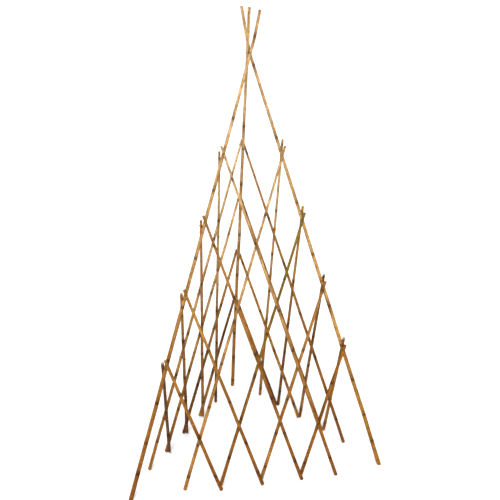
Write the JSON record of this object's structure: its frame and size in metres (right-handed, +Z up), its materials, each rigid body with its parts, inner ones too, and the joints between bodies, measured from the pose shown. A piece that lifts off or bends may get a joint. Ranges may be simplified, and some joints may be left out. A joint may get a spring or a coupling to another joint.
{
  "type": "garden obelisk",
  "caption": "Folding three-sided bamboo-cane wigwam trellis for climbing plants: leaning poles crossing at the top, with nailed lattice panels between them.",
  "frame": {"origin": "on the ground at the centre of the bounding box", "axes": "+Z up; the front panel faces -Y; +X to the right pole"},
  "size_m": [1.0237, 0.7026, 1.7417],
  "materials": {
    "bamboo": "waxy satin bamboo skin, golden tan with darker node rings",
    "nails": "dull galvanised wire"
  },
  "bodies": {
    "left_pole": {"left_pole": "bamboo", "left_pole_nails": "nails"},
    "right_pole": {"right_pole": "bamboo", "right_pole_nails": "nails"},
    "back_pole": {"back_pole": "bamboo", "back_pole_nails": "nails"},
    "front_panel_right_cane_1": {"front_panel_right_cane_1": "bamboo", "front_panel_right_cane_1_nails": "nails"},
    "front_panel_right_cane_2": {"front_panel_right_cane_2": "bamboo", "front_panel_right_cane_2_nails": "nails"},
    "front_panel_right_cane_3": {"front_panel_right_cane_3": "bamboo", "front_panel_right_cane_3_nails": "nails"},
    "front_panel_right_cane_4": {"front_panel_right_cane_4": "bamboo", "front_panel_right_cane_4_nails": "nails"},
    "front_panel_left_cane_1": {"front_panel_left_cane_1": "bamboo"},
    "front_panel_left_cane_2": {"front_panel_left_cane_2": "bamboo"},
    "front_panel_left_cane_3": {"front_panel_left_cane_3": "bamboo"},
    "front_panel_left_cane_4": {"front_panel_left_cane_4": "bamboo"},
    "left_panel_left_cane_1": {"left_panel_left_cane_1": "bamboo"},
    "left_panel_left_cane_2": {"left_panel_left_cane_2": "bamboo"},
    "left_panel_left_cane_3": {"left_panel_left_cane_3": "bamboo"},
    "left_panel_left_cane_4": {"left_panel_left_cane_4": "bamboo", "left_panel_left_cane_4_nails": "nails"},
    "left_panel_back_cane_1": {"left_panel_back_cane_1": "bamboo", "left_panel_back_cane_1_nails": "nails"},
    "left_panel_back_cane_2": {"left_panel_back_cane_2": "bamboo", "left_panel_back_cane_2_nails": "nails"},
    "left_panel_back_cane_3": {"left_panel_back_cane_3": "bamboo", "left_panel_back_cane_3_nails": "nails"},
    "left_panel_back_cane_4": {"left_panel_back_cane_4": "bamboo", "left_panel_back_cane_4_nails": "nails"},
    "right_panel_back_cane_1": {"right_panel_back_cane_1": "bamboo", "right_panel_back_cane_1_nails": "nails"},
    "right_panel_back_cane_2": {"right_panel_back_cane_2": "bamboo", "right_panel_back_cane_2_nails": "nails"},
    "right_panel_back_cane_3": {"right_panel_back_cane_3": "bamboo", "right_panel_back_cane_3_nails": "nails"},
    "right_panel_back_cane_4": {"right_panel_back_cane_4": "bamboo", "right_panel_back_cane_4_nails": "nails"},
    "right_panel_right_cane_1": {"right_panel_right_cane_1": "bamboo"},
    "right_panel_right_cane_2": {"right_panel_right_cane_2": "bamboo"},
    "right_panel_right_cane_3": {"right_panel_right_cane_3": "bamboo"},
    "right_panel_right_cane_4": {"right_panel_right_cane_4": "bamboo"}
  },
  "joints": [
    {"name": "left_pole_fold", "type": "hinge", "parent": "right_pole", "child": "left_pole", "pos_m": [-0.00187, -0.18024, 1.60384], "axis": [0, -0.9961, 0.0878], "range_deg": [0, 25]},
    {"name": "back_pole_fold", "type": "hinge", "parent": "right_pole", "child": "back_pole", "pos_m": [-0.00719, -0.17784, 1.60698], "axis": [-0.7821, -0.5925, -0.193], "range_deg": [0, 20.57]},
    {"name": "front_right_cane_1_turn", "type": "hinge", "parent": "right_pole", "child": "front_panel_right_cane_1", "pos_m": [0.33239, -0.27381, 0.54236], "axis": [0, -0.9961, 0.0878], "range_deg": [0, 25.02]},
    {"name": "front_left_cane_1_turn", "type": "hinge", "parent": "left_pole", "child": "front_panel_left_cane_1", "pos_m": [-0.32884, -0.27254, 0.55679], "axis": [0, -0.9961, 0.0878], "range_deg": [-25.02, 0]},
    {"name": "right_right_cane_1_turn", "type": "hinge", "parent": "right_pole", "child": "right_panel_right_cane_1", "pos_m": [0.32031, -0.26904, 0.56], "axis": [-0.7821, -0.5925, -0.193], "range_deg": [0, 20.57]},
    {"name": "right_back_cane_1_turn", "type": "hinge", "parent": "back_pole", "child": "right_panel_back_cane_1", "pos_m": [-0.00846, 0.16957, 0.5456], "axis": [-0.7821, -0.5925, -0.193], "range_deg": [-20.57, 0]},
    {"name": "front_right_cane_2_turn", "type": "hinge", "parent": "right_pole", "child": "front_panel_right_cane_2", "pos_m": [0.25059, -0.25091, 0.80212], "axis": [0, -0.9961, 0.0878], "range_deg": [0, 25.02]},
    {"name": "front_left_cane_2_turn", "type": "hinge", "parent": "left_pole", "child": "front_panel_left_cane_2", "pos_m": [-0.24766, -0.24963, 0.81674], "axis": [0, -0.9961, 0.0878], "range_deg": [-25.02, 0]},
    {"name": "right_right_cane_2_turn", "type": "hinge", "parent": "right_pole", "child": "right_panel_right_cane_2", "pos_m": [0.239, -0.2464, 0.81993], "axis": [-0.7821, -0.5925, -0.193], "range_deg": [0, 20.57]},
    {"name": "right_back_cane_2_turn", "type": "hinge", "parent": "back_pole", "child": "right_panel_back_cane_2", "pos_m": [-0.00815, 0.08456, 0.80533], "axis": [-0.7821, -0.5925, -0.193], "range_deg": [-20.57, 0]},
    {"name": "front_right_cane_3_turn", "type": "hinge", "parent": "right_pole", "child": "front_panel_right_cane_3", "pos_m": [0.17081, -0.22858, 1.05547], "axis": [0, -0.9961, 0.0878], "range_deg": [0, 25.02]},
    {"name": "front_left_cane_3_turn", "type": "hinge", "parent": "left_pole", "child": "front_panel_left_cane_3", "pos_m": [-0.16849, -0.22728, 1.07028], "axis": [0, -0.9961, 0.0878], "range_deg": [-25.02, 0]},
    {"name": "right_right_cane_3_turn", "type": "hinge", "parent": "right_pole", "child": "right_panel_right_cane_3", "pos_m": [0.1597, -0.22432, 1.07345], "axis": [-0.7821, -0.5925, -0.193], "range_deg": [0, 20.57]},
    {"name": "right_back_cane_3_turn", "type": "hinge", "parent": "back_pole", "child": "right_panel_back_cane_3", "pos_m": [-0.00784, 0.00164, 1.05865], "axis": [-0.7821, -0.5925, -0.193], "range_deg": [-20.57, 0]},
    {"name": "front_right_cane_4_turn", "type": "hinge", "parent": "right_pole", "child": "front_panel_right_cane_4", "pos_m": [0.10012, -0.2088, 1.27995], "axis": [0, -0.9961, 0.0878], "range_deg": [0, 25.02]},
    {"name": "front_left_cane_4_turn", "type": "hinge", "parent": "left_pole", "child": "front_panel_left_cane_4", "pos_m": [-0.09834, -0.20747, 1.29493], "axis": [0, -0.9961, 0.0878], "range_deg": [-25.02, 0]},
    {"name": "right_right_cane_4_turn", "type": "hinge", "parent": "right_pole", "child": "right_panel_right_cane_4", "pos_m": [0.08944, -0.20475, 1.29808], "axis": [-0.7821, -0.5925, -0.193], "range_deg": [0, 20.57]},
    {"name": "right_back_cane_4_turn", "type": "hinge", "parent": "back_pole", "child": "right_panel_back_cane_4", "pos_m": [-0.00758, -0.07183, 1.28312], "axis": [-0.7821, -0.5925, -0.193], "range_deg": [-20.57, 0]},
    {"name": "left_left_cane_1_turn", "type": "hinge", "parent": "left_pole", "child": "left_panel_left_cane_1", "pos_m": [-0.34567, -0.27356, 0.54086], "axis": [-0.7736, 0.5997, -0.2046], "range_deg": [0, 21.89]},
    {"name": "left_left_cane_2_turn", "type": "hinge", "parent": "left_pole", "child": "left_panel_left_cane_2", "pos_m": [-0.26351, -0.25076, 0.80052], "axis": [-0.7736, 0.5997, -0.2046], "range_deg": [0, 21.89]},
    {"name": "left_left_cane_3_turn", "type": "hinge", "parent": "left_pole", "child": "left_panel_left_cane_3", "pos_m": [-0.18339, -0.22853, 1.05376], "axis": [-0.7736, 0.5997, -0.2046], "range_deg": [0, 21.89]},
    {"name": "left_left_cane_4_turn", "type": "hinge", "parent": "left_pole", "child": "left_panel_left_cane_4", "pos_m": [-0.11239, -0.20883, 1.27815], "axis": [-0.7736, 0.5997, -0.2046], "range_deg": [0, 21.89]},
    {"name": "left_back_cane_1_turn", "type": "hinge", "parent": "left_panel_left_cane_4", "child": "left_panel_back_cane_1", "pos_m": [-0.11562, 0.13211, 0.23149], "axis": [-0.7736, 0.5997, -0.2046], "range_deg": [-21.89, 0]},
    {"name": "left_back_cane_2_turn", "type": "hinge", "parent": "left_panel_left_cane_4", "child": "left_panel_back_cane_2", "pos_m": [-0.11482, 0.04746, 0.49135], "axis": [-0.7736, 0.5997, -0.2046], "range_deg": [-21.89, 0]},
    {"name": "left_back_cane_3_turn", "type": "hinge", "parent": "left_panel_left_cane_4", "child": "left_panel_back_cane_3", "pos_m": [-0.11403, -0.03509, 0.74479], "axis": [-0.7736, 0.5997, -0.2046], "range_deg": [-21.89, 0]},
    {"name": "left_back_cane_4_turn", "type": "hinge", "parent": "left_panel_left_cane_4", "child": "left_panel_back_cane_4", "pos_m": [-0.11334, -0.10824, 0.96935], "axis": [-0.7736, 0.5997, -0.2046], "range_deg": [-21.89, 0]}
  ],
  "couplings": [
    {"joint": "back_pole_fold", "follows": "left_pole_fold", "ratio": 0.8221},
    {"joint": "front_right_cane_1_turn", "follows": "left_pole_fold", "ratio": 1},
    {"joint": "front_left_cane_1_turn", "follows": "left_pole_fold", "ratio": -1},
    {"joint": "right_right_cane_1_turn", "follows": "left_pole_fold", "ratio": 0.8221},
    {"joint": "right_back_cane_1_turn", "follows": "left_pole_fold", "ratio": -0.8221},
    {"joint": "front_right_cane_2_turn", "follows": "left_pole_fold", "ratio": 1},
    {"joint": "front_left_cane_2_turn", "follows": "left_pole_fold", "ratio": -1},
    {"joint": "right_right_cane_2_turn", "follows": "left_pole_fold", "ratio": 0.8221},
    {"joint": "right_back_cane_2_turn", "follows": "left_pole_fold", "ratio": -0.8221},
    {"joint": "front_right_cane_3_turn", "follows": "left_pole_fold", "ratio": 1},
    {"joint": "front_left_cane_3_turn", "follows": "left_pole_fold", "ratio": -1},
    {"joint": "right_right_cane_3_turn", "follows": "left_pole_fold", "ratio": 0.8221},
    {"joint": "right_back_cane_3_turn", "follows": "left_pole_fold", "ratio": -0.8221},
    {"joint": "front_right_cane_4_turn", "follows": "left_pole_fold", "ratio": 1},
    {"joint": "front_left_cane_4_turn", "follows": "left_pole_fold", "ratio": -1},
    {"joint": "right_right_cane_4_turn", "follows": "left_pole_fold", "ratio": 0.8221},
    {"joint": "right_back_cane_4_turn", "follows": "left_pole_fold", "ratio": -0.8221},
    {"joint": "left_left_cane_1_turn", "follows": "left_pole_fold", "ratio": 0.8748},
    {"joint": "left_left_cane_2_turn", "follows": "left_pole_fold", "ratio": 0.8748},
    {"joint": "left_left_cane_3_turn", "follows": "left_pole_fold", "ratio": 0.8748},
    {"joint": "left_left_cane_4_turn", "follows": "left_pole_fold", "ratio": 0.8748},
    {"joint": "left_back_cane_1_turn", "follows": "left_pole_fold", "ratio": -0.8748},
    {"joint": "left_back_cane_2_turn", "follows": "left_pole_fold", "ratio": -0.8748},
    {"joint": "left_back_cane_3_turn", "follows": "left_pole_fold", "ratio": -0.8748},
    {"joint": "left_back_cane_4_turn", "follows": "left_pole_fold", "ratio": -0.8748}
  ]
}
